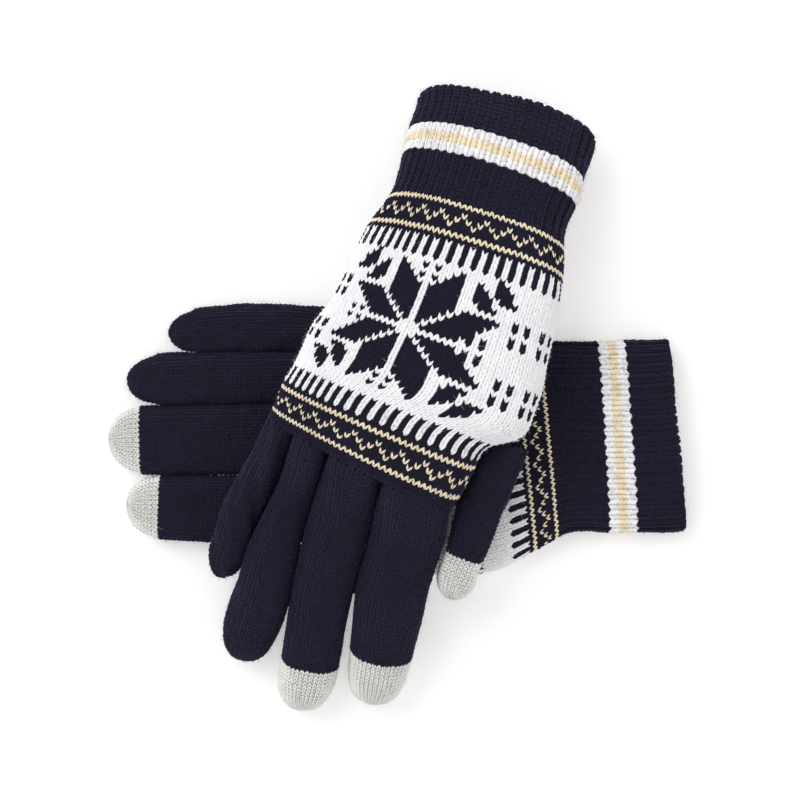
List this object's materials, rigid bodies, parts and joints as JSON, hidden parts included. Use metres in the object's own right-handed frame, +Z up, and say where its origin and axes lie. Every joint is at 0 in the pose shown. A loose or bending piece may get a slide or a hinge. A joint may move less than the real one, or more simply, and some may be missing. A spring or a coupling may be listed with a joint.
{
  "type": "pair of knitted gloves",
  "caption": "Pair of knitted winter gloves with ribbed cuffs, a snowflake band over the hand and plain finger sheaths with conductive ends; fingers bend at the middle knuckle",
  "frame": {"origin": "middle of the pair's box, on the surface it lies on", "axes": "+Z up from the table, +Y along the pair's longest side towards the cuff of the upper glove, +X towards the cuff of the lower glove"},
  "size_m": [0.2056, 0.221, 0.0513],
  "materials": {
    "navy_yarn": "brushed knit",
    "white_yarn": "brushed knit",
    "cream_yarn": "brushed knit",
    "grey_yarn": "smooth conductive knit"
  },
  "bodies": {
    "left_glove": {"left_cuff": "navy_yarn", "left_hand": "white_yarn", "left_thumb": "navy_yarn", "left_thumb_tip": "grey_yarn", "left_index_base": "navy_yarn", "left_middle_base": "navy_yarn", "left_ring_base": "navy_yarn", "left_little_base": "navy_yarn"},
    "right_glove": {"right_cuff": "navy_yarn", "right_hand": "white_yarn", "right_thumb_base": "navy_yarn", "right_index_base": "navy_yarn", "right_middle_base": "navy_yarn", "right_ring_base": "navy_yarn", "right_little_base": "navy_yarn"},
    "left_index_finger": {"left_index_end": "navy_yarn", "left_index_tip": "grey_yarn"},
    "left_middle_finger": {"left_middle_end": "navy_yarn", "left_middle_tip": "grey_yarn"},
    "left_ring_finger": {"left_ring_end": "navy_yarn"},
    "left_little_finger": {"left_little_end": "navy_yarn"},
    "right_index_finger": {"right_index_end": "navy_yarn", "right_index_tip": "grey_yarn"},
    "right_middle_finger": {"right_middle_end": "navy_yarn", "right_middle_tip": "grey_yarn"},
    "right_ring_finger": {"right_ring_end": "navy_yarn"},
    "right_little_finger": {"right_little_end": "navy_yarn"},
    "right_thumb": {"right_thumb_end": "navy_yarn", "right_thumb_tip": "grey_yarn"}
  },
  "joints": [
    {"name": "right_glove_lift", "type": "slide", "parent": "left_glove", "child": "right_glove", "axis": [0, 0, 1], "range_m": [0, 0.1]},
    {"name": "left_index_curl", "type": "hinge", "parent": "left_glove", "child": "left_index_finger", "pos_m": [-0.06958, -0.03842, 0.00577], "axis": [0.0259, 0.9997, 0], "range_deg": [0, 55]},
    {"name": "left_middle_curl", "type": "hinge", "parent": "left_glove", "child": "left_middle_finger", "pos_m": [-0.06557, -0.01361, 0.00577], "axis": [-0.0123, 0.9999, 0], "range_deg": [0, 55]},
    {"name": "left_ring_curl", "type": "hinge", "parent": "left_glove", "child": "left_ring_finger", "pos_m": [-0.05846, 0.00835, 0.00577], "axis": [-0.006, 1, 0], "range_deg": [0, 55]},
    {"name": "left_little_curl", "type": "hinge", "parent": "left_glove", "child": "left_little_finger", "pos_m": [-0.05346, 0.02625, 0.00577], "axis": [-0.0182, 0.9998, 0], "range_deg": [0, 55]},
    {"name": "right_index_lift", "type": "hinge", "parent": "right_glove", "child": "right_index_finger", "pos_m": [-0.00171, -0.06871, 0.02237], "axis": [-0.9763, 0.2162, 0], "range_deg": [0, 35]},
    {"name": "right_middle_lift", "type": "hinge", "parent": "right_glove", "child": "right_middle_finger", "pos_m": [-0.0248, -0.06154, 0.02237], "axis": [-0.9737, 0.2278, 0], "range_deg": [0, 35]},
    {"name": "right_ring_lift", "type": "hinge", "parent": "right_glove", "child": "right_ring_finger", "pos_m": [-0.04269, -0.05216, 0.02197], "axis": [-0.9505, 0.3106, 0], "range_deg": [0, 35]},
    {"name": "right_little_lift", "type": "hinge", "parent": "right_glove", "child": "right_little_finger", "pos_m": [-0.05425, -0.03778, 0.02097], "axis": [-0.9078, 0.4194, 0], "range_deg": [0, 35]},
    {"name": "right_thumb_swing", "type": "hinge", "parent": "right_glove", "child": "right_thumb", "pos_m": [0.03016, -0.03629, 0.02637], "axis": [-0.0422, -0.1147, 0.9925], "range_deg": [0, 25]}
  ]
}
